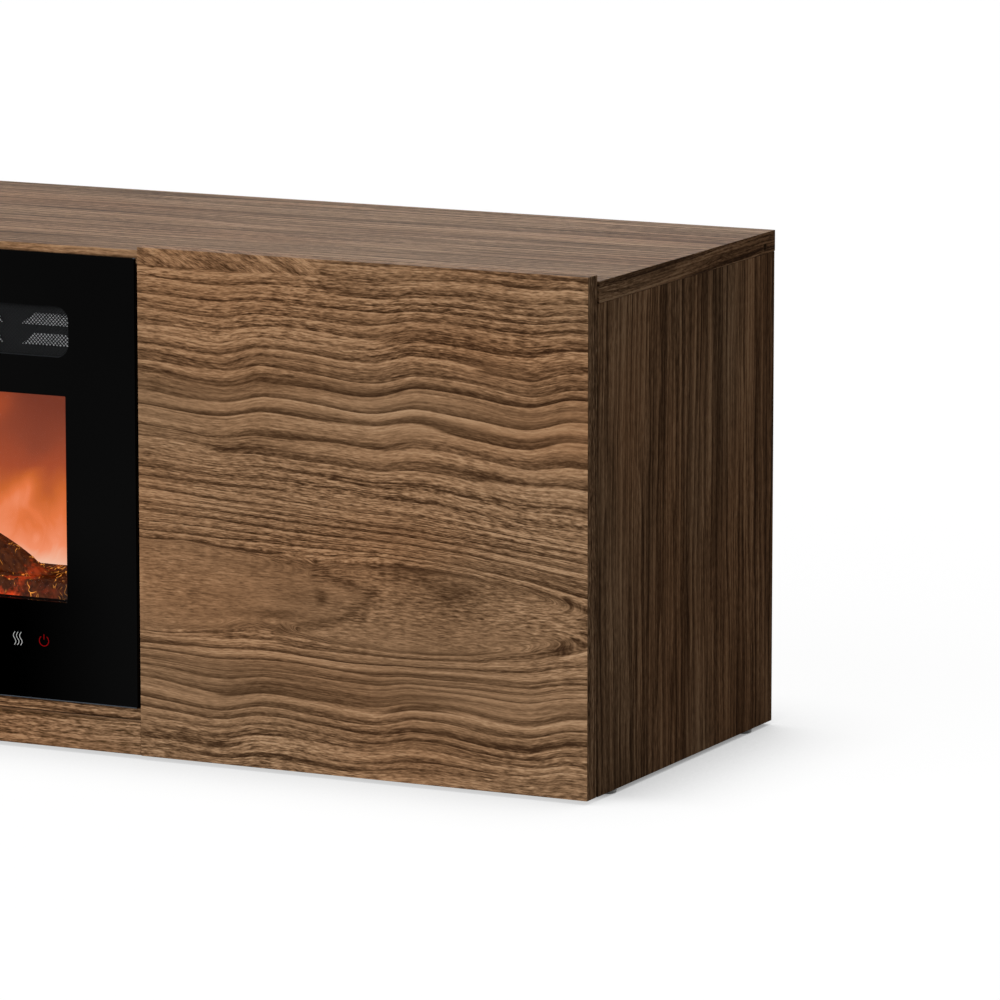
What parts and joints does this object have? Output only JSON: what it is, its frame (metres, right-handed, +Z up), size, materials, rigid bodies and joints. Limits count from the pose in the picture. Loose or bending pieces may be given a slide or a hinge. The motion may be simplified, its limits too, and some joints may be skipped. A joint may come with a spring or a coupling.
{
  "type": "fireplace tv stand",
  "caption": "Low wood-grain media cabinet with two hinged push-to-open doors, shelves behind them, and an electric fireplace insert behind black glass in its middle bay.",
  "frame": {"origin": "on the floor, under the middle of the object's box", "axes": "+X to the right as seen from the front, +Y to the back, +Z up"},
  "size_m": [1.524, 0.411, 0.4835],
  "materials": {
    "walnut_board": "matt brown walnut-grain foil on chipboard, grain lengthwise on the top and doors and upright on the sides",
    "hardboard": "thin fibre board with a printed brown face",
    "hinge_steel": "nickel plated steel",
    "black_steel": "fine-textured black powder coat",
    "louvre_aluminium": "plain satin aluminium",
    "black_plastic": "fine-textured black moulding",
    "grey_plastic": "satin grey moulding",
    "tinted_glass": "polished tempered glass, printed black around a clear window",
    "flame_screen": "frosted panel lit from behind in flame colours",
    "ember_resin": "translucent moulded embers lit from below",
    "log_resin": "charred wood texture, moulded and painted",
    "circuit_board": "green lacquered circuit board"
  },
  "bodies": {
    "root": {"top_panel": "walnut_board", "bottom_panel": "walnut_board", "front_plinth_rail": "walnut_board", "rear_plinth_rail": "walnut_board", "fascia_rail": "walnut_board", "centre_back_panel": "hardboard", "left_side_panel": "walnut_board", "right_side_panel": "walnut_board", "left_divider": "walnut_board", "right_divider": "walnut_board", "left_back_panel": "hardboard", "right_back_panel": "hardboard", "left_shelf": "walnut_board", "right_shelf": "walnut_board", "left_plinth_stay": "walnut_board", "right_plinth_stay": "walnut_board", "left_front_glide": "black_plastic", "right_front_glide": "black_plastic", "left_rear_glide": "black_plastic", "right_rear_glide": "black_plastic", "left_middle_glide": "black_plastic", "right_middle_glide": "black_plastic", "left_lower_hinge_arm": "hinge_steel", "left_upper_hinge_arm": "hinge_steel", "right_lower_hinge_arm": "hinge_steel", "right_upper_hinge_arm": "hinge_steel", "left_latch_body": "grey_plastic", "right_latch_body": "grey_plastic", "glass_front": "tinted_glass", "front_frame": "black_plastic", "vent_mesh": "black_steel", "outlet_louvres": "louvre_aluminium", "insert_housing": "black_steel", "left_insert_bracket": "hinge_steel", "right_insert_bracket": "hinge_steel", "power_inlet": "black_plastic", "firebox_liner": "black_steel", "flame_screen": "flame_screen", "ember_bed": "ember_resin", "log_set": "log_resin", "rotor_cradle": "hinge_steel", "rotor_motor": "grey_plastic", "led_board": "circuit_board", "blower_housing": "black_steel", "blower_motor": "grey_plastic", "heater_element": "louvre_aluminium", "control_board": "circuit_board", "power_board": "circuit_board"},
    "left_door": {"left_door_panel": "walnut_board", "left_lower_hinge_cup": "hinge_steel", "left_upper_hinge_cup": "hinge_steel", "left_strike_plate": "hinge_steel"},
    "right_door": {"right_door_panel": "walnut_board", "right_lower_hinge_cup": "hinge_steel", "right_upper_hinge_cup": "hinge_steel", "right_strike_plate": "hinge_steel"},
    "left_latch_plunger": {"left_latch_plunger": "grey_plastic"},
    "right_latch_plunger": {"right_latch_plunger": "grey_plastic"},
    "flame_rotor": {"flame_rotor": "louvre_aluminium"},
    "blower_wheel": {"blower_wheel": "louvre_aluminium"}
  },
  "joints": [
    {"name": "right_door_hinge", "type": "hinge", "parent": "root", "child": "right_door", "pos_m": [0.757, -0.2015, 0.24375], "axis": [0, 0, 1], "range_deg": [0, 100]},
    {"name": "left_door_hinge", "type": "hinge", "parent": "root", "child": "left_door", "pos_m": [-0.757, -0.2015, 0.24375], "axis": [0, 0, -1], "range_deg": [0, 100]},
    {"name": "right_latch_travel", "type": "slide", "parent": "root", "child": "right_latch_plunger", "axis": [0, 1, 0], "range_m": [0, 0.002], "stiffness_N_per_m": 200, "springref_m": -0.004},
    {"name": "left_latch_travel", "type": "slide", "parent": "root", "child": "left_latch_plunger", "axis": [0, 1, 0], "range_m": [0, 0.002], "stiffness_N_per_m": 200, "springref_m": -0.004},
    {"name": "flame_rotor_spin", "type": "hinge", "parent": "root", "child": "flame_rotor", "pos_m": [0, -0.0609, 0.0918], "axis": [1, 0, 0], "continuous": true},
    {"name": "blower_wheel_spin", "type": "hinge", "parent": "root", "child": "blower_wheel", "pos_m": [0, -0.1115, 0.3977], "axis": [1, 0, 0], "continuous": true}
  ]
}
